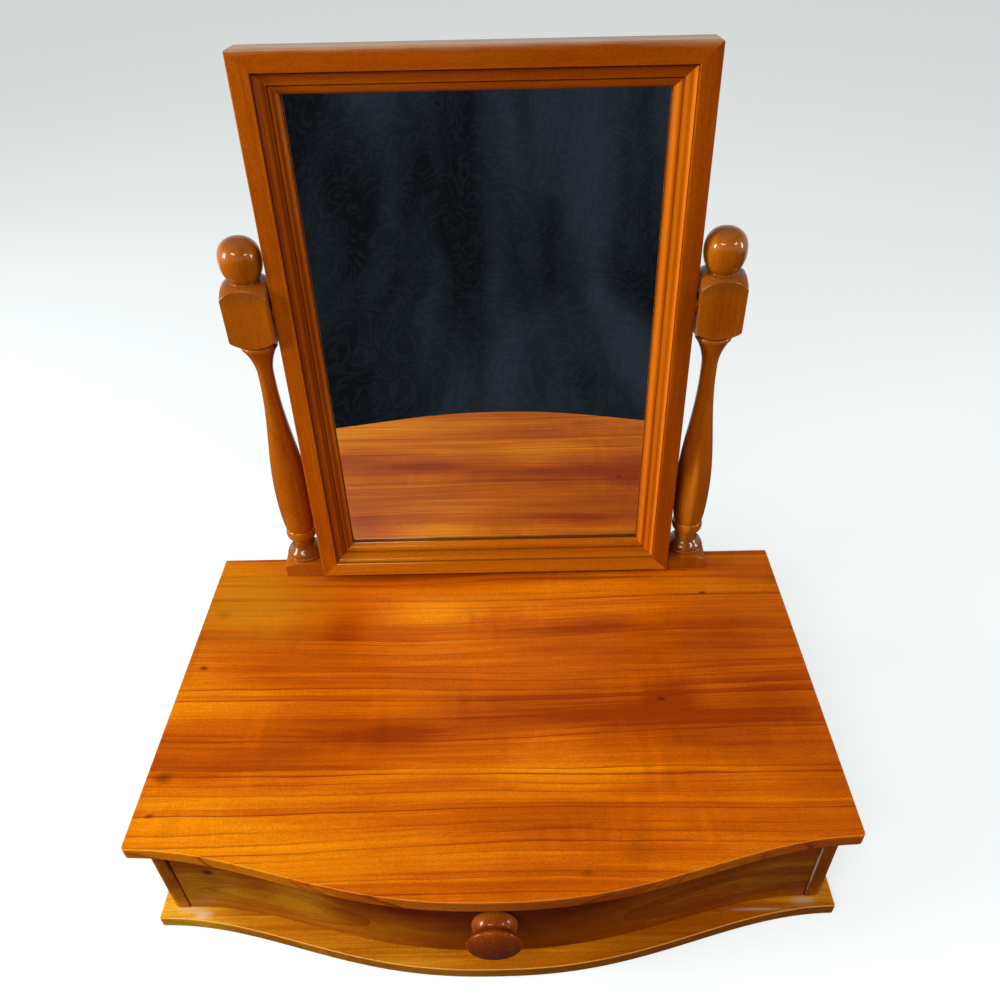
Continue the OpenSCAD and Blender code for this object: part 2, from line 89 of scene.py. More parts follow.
def spread(mat, value, low=0, high=1, start=0, stop=1, curve="LINEAR"):
    """Carries the range from low to high over to start and stop, held at both ends."""
    return add(mat, "ShaderNodeMapRange", {
        "Value": value, "From Min": low, "From Max": high, "To Min": start, "To Max": stop},
        interpolation_type=curve)[0]


def blend(mat, share, first, second, kind="MIX"):
    """Mixes two colours, each a socket or a hex code."""
    first, second = [linear(c) if isinstance(c, str) else c for c in (first, second)]
    return add(mat, "ShaderNodeMix", {0: share, 6: first, 7: second}, data_type="RGBA", blend_type=kind)[2]


def noise(mat, place, scale, detail, roughness=0.5):
    """Outputs of a noise pattern: its value first, then its colour."""
    return add(mat, "ShaderNodeTexNoise", {
        "Vector": place, "Scale": scale, "Detail": detail, "Roughness": roughness})


def near(mat, whole, middle, reach, inner, amount, stir=None):
    """Makes a soft spot: amount at its middle and 0 from its reach outwards, in millimetres.

    inner is the share of the reach where it starts to fade. stir is a noise that frays it.
    """
    # The noise is 0.5 on average, so half its weight is taken off again
    weight = 0 if stir is None else 0.8
    off = add(mat, "ShaderNodeMapping", {
        "Vector": whole, "Scale": [1000 / r for r in reach],
        "Location": [-m / r - weight / 2 for m, r in zip(middle, reach)]})[0]
    if stir is not None:
        off = vec(mat, "MULTIPLY_ADD", stir, (weight, weight, weight), off)
    return spread(mat, vec(mat, "LENGTH", off), inner, 1, amount, 0, "SMOOTHSTEP")


def surface(mat, inputs):
    """Ends a material in its shader."""
    shader = add(mat, "ShaderNodeBsdfPrincipled", inputs)[0]
    add(mat, "ShaderNodeOutputMaterial", {"Surface": shader})


# Turns that bring the grain of a piece onto the pattern's own X axis
GRAIN = {"x": (0, 0, 0), "y": (0, 0, -pi / 2), "z": (0, pi / 2, 0)}


def wood(name, grain, pith, ring, tones, line, strength=0.6, sway=16, curl=0.0, coat=0.2, gloss=0.08,
         contrast=1.0, falloff_shade=0.0, arris_highlight=None, zones=(), spots=()):
    """Stained cherry under a clear gloss lacquer, which gives it sharp highlights over a deep colour.

    pith is where the middle of the tree lies, beside the grain, and ring the width of a
    year's growth, both in millimetres. tones are the dark, middle and light colours of the
    wood, and line is the thin dark latewood at the end of each year, shown at strength. The
    rings wander by sway, in millimetres. coat and gloss are the lacquer's weight and
    roughness. falloff_shade is how much the wood darkens over 200 mm along the grain, partly
    the wood's own change of tone and partly painted shade for light that falls off away from
    the left. Each zone is (middle, reach, lighter or darker by) and each spot (middle, reach,
    strength, colour), in millimetres of the object. arris_highlight is (how strong a painted
    highlight on upper arrises is, how far up these face).
    """
    mat = blank(bpy.data.materials.new(name))
    whole = add(mat, "ShaderNodeTexCoord")["Object"]
    place = add(mat, "ShaderNodeMapping", {
        "Vector": whole, "Scale": (1000, 1000, 1000),
        "Rotation": GRAIN[grain], "Location": (0, -pith[0], -pith[1])})[0]
    slow = vec(mat, "MULTIPLY", place, (0.14, 1, 1))
    # The rings sway by some millimetres over 40 mm, and tremble over 5 mm
    broad = noise(mat, slow, 0.02, 1.5)[1]
    small = noise(mat, slow, 0.16, 2)[1]
    bent = vec(mat, "MULTIPLY_ADD", broad, (0, sway, sway), place)
    bent = vec(mat, "MULTIPLY_ADD", small, (0, 2.2, 2.2), bent)
    radius = vec(mat, "LENGTH", vec(mat, "MULTIPLY", bent, (0, 1, 1)))
    # Good and lean years: the rings' width changes by half
    years = add(mat, "ShaderNodeTexNoise", {"W": radius, "Scale": 0.5 / ring, "Detail": 1},
                noise_dimensions="1D")[0]
    count = calc(mat, "MULTIPLY_ADD", years, 2.4, calc(mat, "MULTIPLY", radius, 1 / ring))
    part = calc(mat, "FRACT", count)
    year = calc(mat, "FLOOR", count)
    # The latewood: a thin line with a soft side towards the middle of the tree
    rise = calc(mat, "POWER", spread(mat, part, 0.45, 0.94), 4.5)
    late = calc(mat, "MULTIPLY", rise, spread(mat, part, 0.93, 1.0, 1, 0))
    fade = spread(mat, noise(mat, slow, 0.05, 2)[0], 0.34, 0.54, 0.4, 1.0)
    late = calc(mat, "MULTIPLY", late, fade)
    mark = add(mat, "ShaderNodeTexWhiteNoise", {"W": year}, noise_dimensions="1D")["Value"]
    shown = calc(mat, "MULTIPLY", late, spread(mat, mark, 0, 1, 0.5 * strength, strength))
    # Broad zones of colour, a tone of its own for each year, and streaks between the lines
    bands = noise(mat, vec(mat, "MULTIPLY", bent, (0.3, 1, 1)), 0.017, 2)[0]
    bands = calc(mat, "MULTIPLY_ADD", bands, 0.8 * contrast, 0.5 - 0.4 * contrast)
    own = add(mat, "ShaderNodeTexWhiteNoise", {"W": calc(mat, "ADD", year, 0.37)},
              noise_dimensions="1D")["Value"]
    own = calc(mat, "MULTIPLY", calc(mat, "SUBTRACT", own, 0.5), fade)
    bands = calc(mat, "MULTIPLY_ADD", own, 0.15 * contrast, bands)
    streak = noise(mat, vec(mat, "MULTIPLY", bent, (0.02, 1, 1)), 0.35, 3, 0.6)[0]
    bands = calc(mat, "MULTIPLY_ADD", calc(mat, "SUBTRACT", streak, 0.5), 0.36 * contrast, bands)
    along = add(mat, "ShaderNodeSeparateXYZ", {0: place})["X"]
    # Painted shade, partly the wood's own tone: the wood darkens along the grain, away from the light at the
    # left
    bands = calc(mat, "MULTIPLY_ADD", along, -falloff_shade / 200, bands)
    for middle, reach, change in zones:
        bands = calc(mat, "ADD", bands, near(mat, whole, middle, reach, 0.1, change))
    colour = blend(mat, spread(mat, bands, 0.22, 0.52), tones[0], tones[1])
    colour = blend(mat, spread(mat, bands, 0.5, 0.8), colour, tones[2])
    colour = blend(mat, shown, colour, line)
    # Fibres 0.6 mm wide and some 15 mm long, and pores like fine specks
    fibre = noise(mat, vec(mat, "MULTIPLY", bent, (0.06, 1, 1)), 1.1, 3, 0.7)[0]
    colour = blend(mat, 1.0, colour, spread(mat, fibre, 0.3, 0.7, 0.9, 1.1), "MULTIPLY")
    pores = noise(mat, vec(mat, "MULTIPLY", bent, (0.45, 1, 1)), 1.3, 2, 0.8)[0]
    colour = blend(mat, 1.0, colour, spread(mat, pores, 0.3, 0.7, 0.8, 1.2), "MULTIPLY")
    if curl:
        # Curl: soft slanting ripples some 8 mm apart, in patches
        across = add(mat, "ShaderNodeMapping", {
            "Vector": place, "Rotation": (0, 0, 0.6), "Scale": (1, 0.2, 0.2)})[0]
        ripple = calc(mat, "SUBTRACT", noise(mat, across, 0.12, 2)[0], 0.5)
        patch = spread(mat, noise(mat, place, 0.014, 1)[0], 0.5, 0.65, 0, curl)
        ripple = calc(mat, "MULTIPLY_ADD", calc(mat, "MULTIPLY", ripple, 4), patch, 1.0)
        colour = blend(mat, 1.0, colour, ripple, "MULTIPLY")
    for middle, reach, amount, stain in spots:
        colour = blend(mat, near(mat, whole, middle, reach, 0.2, amount, small), colour, stain)
    if arris_highlight:
        # Painted highlight: pale along the arrises that face up and outward
        highlight_amount, upward = arris_highlight
        facing = add(mat, "ShaderNodeSeparateXYZ", {0: add(mat, "ShaderNodeNewGeometry")["Normal"]})["Z"]
        edge = spread(mat, facing, upward, 0.5 + upward / 2, 0, 1, "SMOOTHSTEP")
        level = spread(mat, facing, 0.88, 0.975, highlight_amount, 0, "SMOOTHSTEP")
        colour = blend(mat, calc(mat, "MULTIPLY", edge, level), colour, "#ffc06a")
    height = calc(mat, "MULTIPLY_ADD", late, 0.6, fibre)
    bump = add(mat, "ShaderNodeBump", {"Height": height, "Strength": 0.25, "Distance": 0.00005})[0]
    surface(mat, {
        "Base Color": colour, "Normal": bump, "Roughness": 0.35, "Specular IOR Level": 0.3,
        "Specular Tint": linear("#ff9a40"), "Coat Weight": coat, "Coat Roughness": gloss, "Coat IOR": 1.5})
    return mat


def finish(name, bm, material, body, slot, *nodes):
    """Closes a mesh drawn in millimetres, brings it to metres and hands it to its body."""
    bmesh.ops.remove_doubles(bm, verts=bm.verts, dist=0.001)
    bmesh.ops.recalc_face_normals(bm, faces=bm.faces)
    bmesh.ops.scale(bm, vec=(0.001, 0.001, 0.001), verts=bm.verts)
    mesh = bpy.data.meshes.new(name)
    bm.to_mesh(mesh)
    bm.free()
    mesh.shade_smooth()
    mesh.set_sharp_from_angle(angle=radians(34))
    made = bpy.data.objects.new(name, mesh)
    scene.collection.objects.link(made)
    made.data.materials.append(material)
    made.modifiers.new("weighted_normals", "WEIGHTED_NORMAL").keep_sharp = True
    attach(made, body)
    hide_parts(*nodes)
    return made


def dress(material, *names):
    """Gives its material to each CAD node that is shown as it is."""
    for name in names:
        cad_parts[name].material_slots[0].material = material


def verts_of(geom):
    """The vertices in a list of mesh elements."""
    return [g for g in geom if isinstance(g, bmesh.types.BMVert)]


def upright(e):
    """Whether an edge stands upright."""
    return abs(e.verts[0].co.z - e.verts[1].co.z) > 1


def ease(bm, offset, segments, wanted):
    """Rounds over the sharp edges that wanted(edge) picks."""
    edges = [e for e in bm.edges if e.calc_face_angle(0) > 0.6 and wanted(e)]
    bmesh.ops.bevel(bm, geom=edges, offset=offset, offset_type="OFFSET", segments=segments,
                    profile=0.5, affect="EDGES", material=-1, clamp_overlap=True)


board_w, board_t, back_y, corner_y, bow_rise = 450, 10, 146.5, -110, 36.5
panel_x, panel_t, case_front, case_top = 212, 12, -102.7, 87


def bow(u):
    """Height of the serpentine: 1 at its crest and 0 at both ends, u running from -1 to 1."""
    return (1 + cos(pi * abs(u) ** 1.17)) / 2


def board(low, corner, upper, lower):
    """A serpentine board that lies at low, with its corners and its two arrises rounded."""
    high = low + board_t
    bm = bmesh.new()
    bmesh.ops.create_grid(bm, x_segments=120, y_segments=1, size=1)
    for v in bm.verts:
        v.co.x *= board_w / 2
        v.co.y = back_y if v.co.y > 0 else corner_y - bow_rise * bow(2 * v.co.x / board_w)
        v.co.z = low
    grown = bmesh.ops.extrude_face_region(bm, geom=bm.faces[:])["geom"]
    bmesh.ops.translate(bm, vec=(0, 0, board_t), verts=verts_of(grown))
    bmesh.ops.recalc_face_normals(bm, faces=bm.faces)
    ease(bm, corner, 6, lambda e: upright(e) and e.verts[0].co.y < 0 and abs(e.verts[0].co.x) > board_w / 2 - 1)
    ease(bm, 1, 3, lambda e: upright(e) and e.verts[0].co.y > 0)
    ease(bm, upper, 5, lambda e: min(v.co.z for v in e.verts) > high - 0.01)
    ease(bm, lower, 3, lambda e: max(v.co.z for v in e.verts) < low + 0.01)
    return bm


# Painted light on the base: its left end is lighter, washed by the lamp at the left, and the pale spots where
# the drawer's gaps meet it at both side panels are painted glare. The long thin pale spot at the right is a
# scuff.
amber = wood(
    "cherry_lacquered_base", "x", (250, -90), 6, ("#984303", "#ba6a08", "#e8a828"), "#7e3204",
    falloff_shade=0.02, arris_highlight=(0.6, 0.4),
    zones=(((-235, -105, 10), (75, 99, 99), 0.45), ((60, -125, 10), (230, 99, 99), -0.12)),
    spots=[((x, y, 10), (length, width, 6), amount, "#e8dcc4") for x, y, length, width, amount in (
        (-197, -108, 9, 5, 0.4), (-206, -104, 12, 4, 0.25), (203, -106, 13, 5, 0.22),
        (172, -111, 26, 1.2, 0.35))])
base = finish("base_board_shaped", board(0, 1.2, 1.5, 1), amber, "case", "case_wood", "base_board")

# Countersinks for the screws, bored 3 mm into the underside
sink_r, sink_depth, back_panel_y = 4.1, 3, back_y - panel_t / 2
sinks = [(s * panel_x, case_front + share * (back_y - case_front))
         for s in (-1, 1) for share in (0.14, 0.5, 0.86)]
holes = bmesh.new()
for x, y in sinks + [(-103, back_panel_y), (103, back_panel_y)]:
    bmesh.ops.create_cone(holes, segments=32, radius1=sink_r, radius2=sink_r, depth=2 * sink_depth,
                          cap_ends=True, matrix=Matrix.Translation((x, y, 0)))
bmesh.ops.scale(holes, vec=(0.001, 0.001, 0.001), verts=holes.verts)
drill = bpy.data.objects.new("drill", bpy.data.meshes.new("drill"))
holes.to_mesh(drill.data)
holes.free()
scene.collection.objects.link(drill)
sunk = base.modifiers.new("countersinks", "BOOLEAN")
sunk.object, sunk.operation, sunk.solver = drill, "DIFFERENCE", "EXACT"
base.data = bpy.data.meshes.new_from_object(base.evaluated_get(bpy.context.evaluated_depsgraph_get()))
base.modifiers.clear()
bpy.data.objects.remove(drill)

# Zinc plating is a bright grey with soft clouding a few millimetres across
steel = blank(bpy.data.materials.new("steel_zinc_plated"))
cloud = noise(steel, add(steel, "ShaderNodeTexCoord")["Object"], 400, 3)[0]
surface(steel, {"Base Color": blend(steel, cloud, "#8f9296", "#b9bcc0"), "Metallic": 1.0,
                "Roughness": spread(steel, cloud, 0, 1, 0.25, 0.45)})
dress(steel, "base_screws")


# ---- Top board ----
# The same serpentine board over the drawer, glued up from two wide boards, with the
# clearest grain of the piece: thin dark year lines 3 to 8 mm apart, red bands and small knots.

# Among the zones of the top board, the lighter front left is painted light from the lamp at the left, and the
# dark strip along the back, before the mirror frame, is the frame's painted shadow and reflection.
honey = wood(
    "cherry_lacquered_top", "x", (300, -40), 6.6, ("#943402", "#ca6003", "#f09005"), "#862a02",
    strength=1.15, sway=20, curl=0.13, coat=0.14, falloff_shade=0.03, arris_highlight=(0.3, 0.75),
    zones=[((x, y, 92), (length, width, 99), change) for x, y, length, width, change in (
        (-165, -95, 120, 50, 0.16), (-50, 82, 60, 22, 0.16), (25, -59, 170, 9, 0.12),
        (-180, 85, 80, 40, 0.10), (-70, -32, 60, 17, -0.19),
        (55, -10, 150, 24, -0.2), (125, 0, 34, 26, -0.16), (80, 68, 50, 16, -0.12),
        (40, 126, 190, 14, -0.10), (0, 28, 150, 14, 0.08), (-20, -118, 130, 24, 0.16),
        (-115, 62, 22, 34, -0.1), (120, 40, 120, 60, -0.05), (205, -5, 40, 34, -0.14),
        (110, -20, 90, 36, -0.14), (178, -15, 45, 32, -0.16), (4, 68, 70, 24, -0.08))],
    spots=[((x, y, 95), (length, width, 9), amount, stain) for x, y, length, width, amount, stain in (
        (-212, 30, 4, 2.8, 0.9, "#4a1602"), (-211, 84, 9, 7, 0.4, "#4a1602"),
        (-213, -61, 9, 7, 0.6, "#4a1602"), (-214, -88, 4, 2.6, 0.7, "#4a1602"),
        (163, 98, 4.5, 2.6, 0.8, "#4a1602"), (116, -5, 5, 3, 0.9, "#4a1602"),
        (56, -130, 6, 4, 0.4, "#4a1602"), (-190, 95, 90, 60, 0.45, "#b8820c"))])
finish("top_board_shaped", board(case_top, 3, 4, 3), honey, "case", "case_wood", "top_board")


# ---- Side panels ----
# Two 12 mm boards on edge between the base and the top. The outer front corner of each is
# rounded over half its thickness.

def block(corner_a, corner_b):
    """A plain block between two corners."""
    bm = bmesh.new()
    a, b = Vector(corner_a), Vector(corner_b)
    bmesh.ops.create_cube(bm, size=1, matrix=Matrix.Translation((a + b) / 2) @ Matrix.Diagonal((*(b - a), 1)))
    bmesh.ops.recalc_face_normals(bm, faces=bm.faces)
    return bm


# Painted shadow: a dark wedge on the left panel in the gap beside the drawer. Painted highlight: a pale line on
# the right panel's inner arris, which faces the lamps at the left.
panel = wood(
    "cherry_lacquered_panels", "y", (150, -90), 6, ("#843603", "#a45004", "#c8780c"), "#602404", coat=0.12,
    spots=(((-206, -103, 78), (3.2, 4, 40), 0.9, "#1c0a02"), ((206, -103, 48), (1.3, 3, 44), 0.85, "#ffdcc0")))
panel_edge = panel_x + panel_t / 2
for side, name in ((-1, "side_panel_left"), (1, "side_panel_right")):
    low_x, high_x = side * panel_x - panel_t / 2, side * panel_x + panel_t / 2
    bm = block((low_x, case_front, board_t), (high_x, back_y, case_top))
    ease(bm, 6, 8, lambda e: upright(e) and e.verts[0].co.y < 0 and abs(e.verts[0].co.x) > panel_edge - 1)
    ease(bm, 0.6, 2, upright)
    finish(name + "_shaped", bm, panel, "case", "case_wood", name)


# ---- Back panel, drawer stops and dowels ----
# A 12 mm board closes the back between the side panels. Two softwood blocks glued to the
# base stop the drawer, and beech dowels hold the top board.

dress(wood("cherry_lacquered_back", "x", (60, -100), 6, ("#903c03", "#b45a05", "#d8820e"), "#6c2804"),
      "back_panel")

pine, pine_cross = [
    wood(name, grain, (40, -60), 3.5, ("#c99a5e", "#d8b077", "#e3c08a"), "#a8703a", coat=0.0)
    for name, grain in (("pine_planed", "y"), ("pine_planed_cross", "x"))]
dress(pine_cross, "drawer_stops")
dress(pine, "top_dowels")


# ---- Drawer front ----
# Sawn from thick stock to the same serpentine, 14 mm front to back, stained darker than
# the boards. It is rabbeted for the drawer sides below their top edge.

drawer_x, drawer_bow, columns = 204.8, 31.8, 84
side_x, side_top, front_low, front_high = 195, 72.3, 10.3, 86.0
lip_t, front_t = 6, 14
last_column = 1 - 2 / columns
bm = bmesh.new()
bmesh.ops.create_grid(bm, x_segments=columns, y_segments=2, size=1, matrix=Matrix.Rotation(pi / 2, 4, "X"))
for v in bm.verts:
    if abs(v.co.x) < last_column + 0.001:
        v.co.x = side_x * v.co.x / last_column
    else:
        v.co.x = drawer_x * (1 if v.co.x > 0 else -1)
    v.co.z = {-1: front_low, 0: side_top, 1: front_high}[round(v.co.z)]
    v.co.y = case_front
for start, stop in ((0, lip_t), (lip_t, front_t)):
    back = []
    for f in bm.faces:
        middle = f.calc_center_median()
        beside = start == lip_t and abs(middle.x) > side_x and middle.z < side_top
        if abs(middle.y - case_front - start) < 0.01 and abs(f.normal.y) > 0.9 and not beside:
            back.append(f)
    grown = bmesh.ops.extrude_face_region(bm, geom=back)["geom"]
    bmesh.ops.translate(bm, vec=(0, stop - start, 0), verts=verts_of(grown))
for v in bm.verts:
    v.co.y -= drawer_bow * bow(v.co.x / drawer_x)
bmesh.ops.recalc_face_normals(bm, faces=bm.faces)
ease(bm, 0.8, 3, lambda e: (min(v.co.z for v in e.verts) > front_high - 0.1
                            or max(v.co.z for v in e.verts) < front_low + 0.1))
# Painted shade and light on the drawer front: darker in the middle and high up to its left, under the top
# board's overhang, and lighter at both ends and on the left part, where more light reaches.
russet = wood(
    "cherry_lacquered_drawer", "x", (-104, 42), 6, ("#6c2002", "#a04a04", "#cc8410"), "#4a1402",
    strength=0.7, sway=12, coat=0.14, falloff_shade=0.08,
    zones=(((15, -130, 60), (110, 99, 90), -0.3), ((-122, -120, 42), (34, 99, 36), 0.3),
           ((-62, -130, 70), (70, 99, 30), -0.3), ((-185, -104, 50), (60, 99, 60), 0.12),
           ((190, -104, 45), (60, 99, 60), 0.1)),
    spots=(((-183, -104, 57), (6, 99, 4.5), 0.8, "#3a1002"), ((-184, -104, 52), (15, 99, 14), 0.25, "#4a1602")))
finish("drawer_front_shaped", bm, russet, "drawer", "drawer_front_wood", "drawer_front")


# ---- Drawer box ----
# Planed pine sides and back, 9 mm thick, with a thin plywood bottom in grooves. The sides
# run on the base board. Three wire pins hold the bottom to the back.

for name in ("drawer_side_left", "drawer_side_right"):
    lo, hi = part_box(name)
    bm = block(lo * 1000, hi * 1000)
    ease(bm, 0.8, 3, lambda e: True)
    finish(name + "_planed", bm, pine, "drawer", "plain_softwood", name)
# Only the upper edges of the back are eased
lo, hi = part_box("drawer_back")
bm = block(lo * 1000, hi * 1000)
ease(bm, 0.8, 3, lambda e: min(v.co.z for v in e.verts) > 68)
finish("drawer_back_planed", bm, pine_cross, "drawer", "plain_softwood", "drawer_back")
dress(wood("birch_plywood", "x", (30, -400), 9, ("#c29a68", "#cfa878", "#d9b789"), "#b08350",
           strength=0.4, coat=0.0), "drawer_bottom")
dress(steel, "drawer_pins")


# ---- Knob ----
# Turned from darker walnut-stained wood: a ball-shaped bead against the drawer front, a
# tight neck and a flattened round head. A screw from inside the drawer holds it.

def turned(bm, points, steps=72):
    """Turns an outline of (radius, height) points about the Z axis."""
    verts = [bm.verts.new((r, 0, z)) for r, z in points]
    edges = [bm.edges.new(pair) for pair in zip(verts, verts[1:])]
    bmesh.ops.spin(bm, geom=verts + edges, cent=(0, 0, 0), axis=(0, 0, 1), angle=2 * pi, steps=steps,
                   use_merge=True)


# The bead is widest at bead_z from the drawer, and fuller in front of that than behind
crest_y, knob_z, bead_r, bead_z, bead_back = -134.5, 55.4, 14, 4.2, 4.7
neck_r, head_r, head_z, head_half = 8.5, 16.9, 16.6, 4.8
bead = ([(bead_r * cos(radians(a)), bead_z - bead_back * sin(radians(a))) for a in range(63, 0, -7)]
        + [(bead_r * cos(radians(a)), bead_z + bead_r * sin(radians(a))) for a in range(0, 28, 3)])
throat = [(12.2, 10.9), (11.6, 11.2), (9.2, 11.9), (8.6, 12.2)]
first = asin(neck_r / head_r)
head = [(head_r * sin(a), head_z - head_half * cos(a))
        for a in [first + (pi - first) * i / 30 for i in range(31)]]
bm = bmesh.new()
turned(bm, [(0, 0)] + bead + throat + head)
bmesh.ops.transform(bm, matrix=Matrix.Translation((0, crest_y, knob_z)) @ Matrix.Rotation(pi / 2, 4, "X"),
                    verts=bm.verts)
# The bead is painted lighter than the head: painted light on a part that the top board shades.
walnut = wood("walnut_lacquered", "y", (60, 55), 3, ("#642006", "#8c3808", "#ae5610"), "#3c1404",
              sway=5, coat=0.4, gloss=0.04, zones=(((0, -137, 55), (99, 8, 99), 0.5),))
finish("drawer_knob_turned", bm, walnut, "drawer", "knob_wood", "drawer_knob")


def slotted_head(bm, radius, height, slot, place, slot_depth=0.9):
    """Adds a screw head with a slot; place carries it from the plane z = 0 to where it is."""
    made = bmesh.ops.create_cone(bm, segments=40, radius1=radius, radius2=radius, depth=height, cap_ends=True,
                                 matrix=Matrix.Translation((0, 0, height / 2)))["verts"]
    geom = lambda: list({g for v in made for g in (*v.link_faces, *v.link_edges)}) + made
    for side in (-1, 1):
        cut = bmesh.ops.bisect_plane(bm, geom=geom(), plane_co=(side * slot / 2, 0, 0),
                                     plane_no=(1, 0, 0))["geom_cut"]
        made = made + [v for v in verts_of(cut) if v not in made]
    strip = [f for f in geom() if isinstance(f, bmesh.types.BMFace) and f.normal.z > 0.9
             and abs(f.calc_center_median().x) < slot / 4 and f.calc_center_median().z > height - 0.01]
    lower = verts_of(bmesh.ops.extrude_face_region(bm, geom=strip)["geom"])
    bmesh.ops.translate(bm, vec=(0, 0, -slot_depth), verts=lower)
    bmesh.ops.delete(bm, geom=[f for f in strip if f.is_valid], context="FACES")
    bmesh.ops.transform(bm, matrix=place, verts=list({v for v in made + lower if v.is_valid}))


bm = bmesh.new()
slotted_head(bm, 4, 2.4, 1.1,
             Matrix.Translation((0, crest_y + front_t, knob_z)) @ Matrix.Rotation(-pi / 2, 4, "X"))
finish("knob_screw_slotted", bm, steel, "drawer", "steel", "knob_screw")


# ---- Pillars ----
# Each is turned from one 30 mm square: plinth, flared foot, bead, long baluster, ring,
# square block for the pivot and an egg-shaped finial. A tongue behind the case takes two screws.

pillar_x, pillar_y, deck = 154.5, 140.5, case_top + board_t
half, corner = 15, 15 * sqrt(2)
plinth_h, foot_r, plinth_fall = 13.7, 13.9, 3.4 / 7.3
block_low, block_high, crown_r, crown_drop = 212.5, 249.8, 12, 7.3
tongue_low, tongue_top, tongue_back, screw_y = -34, 5, 155.45, 154.35
skirt_r = 1.37 * corner
skirt_z = block_low + sqrt(skirt_r ** 2 - corner ** 2)
steps = [i / 20 for i in range(21)]


def squared(bm, low, high):
    """Adds a square bar whose two ends follow low(r) and high(r), as turning leaves them."""
    rims = set()
    for level in (low, high):
        made = bmesh.ops.create_grid(bm, x_segments=20, y_segments=20, size=half)["verts"]
        for v in made:
            v.co.z = level(v.co.xy.length)
        rims |= {e for v in made for e in v.link_edges if e.is_boundary}
    bmesh.ops.bridge_loops(bm, edges=list(rims))
    bmesh.ops.recalc_face_normals(bm, faces=bm.faces)
    ease(bm, 0.6, 2, lambda e: max(max(abs(v.co.x), abs(v.co.y)) for v in e.verts) > half - 0.01)


def bar(r0, z0, r1, z1):
    """Outline eased from one radius to another."""
    return [(r0 + (r1 - r0) * (1 - cos(pi * t)) / 2, z0 + (z1 - z0) * t) for t in steps]


def round_bead(z0, z1, r0, r1):
    """Outline of a half-round bead."""
    return [(r0 + (r1 - r0) * sin(pi * t), (z0 + z1) / 2 - (z1 - z0) / 2 * cos(pi * t)) for t in steps]


shaft = ([(0, 8), (foot_r, 8), (foot_r, 14.1)]
         # The foot's rounded rim, and the hollow above it
         + [(13.4 + 1.0 * cos(pi / 2 * t), 15.2 + 1.6 * sin(pi / 2 * t)) for t in steps]
         + [(8.3 + 2.55 * (1 + cos(pi * t)), 17.4 + 8 * t) for t in steps] + [(8.2, 28), (8.3, 31.5)]
         + round_bead(32.3, 41.5, 9.6, 11.8)
         # The baluster swells, tapers to its waist and opens like a trumpet
         + [(10.2 + 2.9 * sin(pi / 2 * t), 75 - 33.5 * cos(pi / 2 * t)) for t in steps]
         + bar(13.1, 76, 5.6, 175) + [(5.6 + 6.1 * t * t, 181 + 20.7 * t) for t in steps]
         + round_bead(201.9, 205.1, 11.9, 12.6)
         + [(11.2, 205.3), (11.2, 214.5), (0, 214.5)])
# The egg is a little squarer above its widest place than a ball, and stands on a thin collar
egg_r, egg_z, egg_foot, egg_low, egg_high = 14, 263.8, 9.4, 13.3, 14.9
egg = [(0, 240.5), (9.7, 240.5), (9.7, 250.2), (9.5, 250.5)]
tip = -acos(egg_foot / egg_r)
for i in range(41):
    a = tip + (pi / 2 - tip) * i / 40
    egg.append((egg_r * cos(a), egg_z + egg_low / sin(-tip) * sin(a)) if a < 0 else
               (egg_r * max(0, cos(a)) ** 0.82, egg_z + egg_high * sin(a) ** 0.88))

# Painted light and shade on the turned wood: the tops of the finials and blocks are greyer, a painted
# reflection, and the feet darker, painted shade. The right pillar has a bright stripe down its baluster, a
# painted highlight, with painted shade down its left edge and at its foot, and both finials have painted shade
# on their right side. The plinths and the right pillar's block are a little darker all round.
pillar_wood = wood(
    "cherry_lacquered_turned", "z", (70, 160), 6, ("#8c3e03", "#b05c05", "#d4840e"), "#6c2803",
    strength=0.3, sway=9, coat=0.6, gloss=0.04, contrast=0.6,
    zones=(((0, 140, 102), (999, 99, 12), -0.1), ((155, 140, 322), (30, 99, 30), -0.1)),
    spots=[((x, y, z), (width, 99, reach), amount, stain) for x, y, z, width, reach, amount, stain in (
        (0, 140, 379, 999, 11, 0.6, "#664c2e"), (0, 140, 343, 999, 9, 0.35, "#5c3c1c"),
        (0, 140, 119, 999, 13, 0.6, "#4a3018"), (151, 128, 160, 5.6, 62, 0.75, "#ffa420"),
        (142, 128, 165, 5, 70, 0.6, "#2c0c02"), (144, 128, 115, 9, 14, 0.5, "#2c0c02"),
        (165, 128, 362, 8, 22, 0.4, "#3a1a04"), (-145, 128, 362, 10, 22, 0.3, "#4a2404"))])
# Lacquered brass is a warm yellow, a little duller where it was handled
brass = blank(bpy.data.materials.new("brass_lacquered"))
handled = noise(brass, add(brass, "ShaderNodeTexCoord")["Object"], 500, 2)[0]
surface(brass, {"Base Color": blend(brass, handled, "#a8842f", "#c9a94e"), "Metallic": 1.0,
                "Roughness": spread(brass, handled, 0, 1, 0.2, 0.4)})

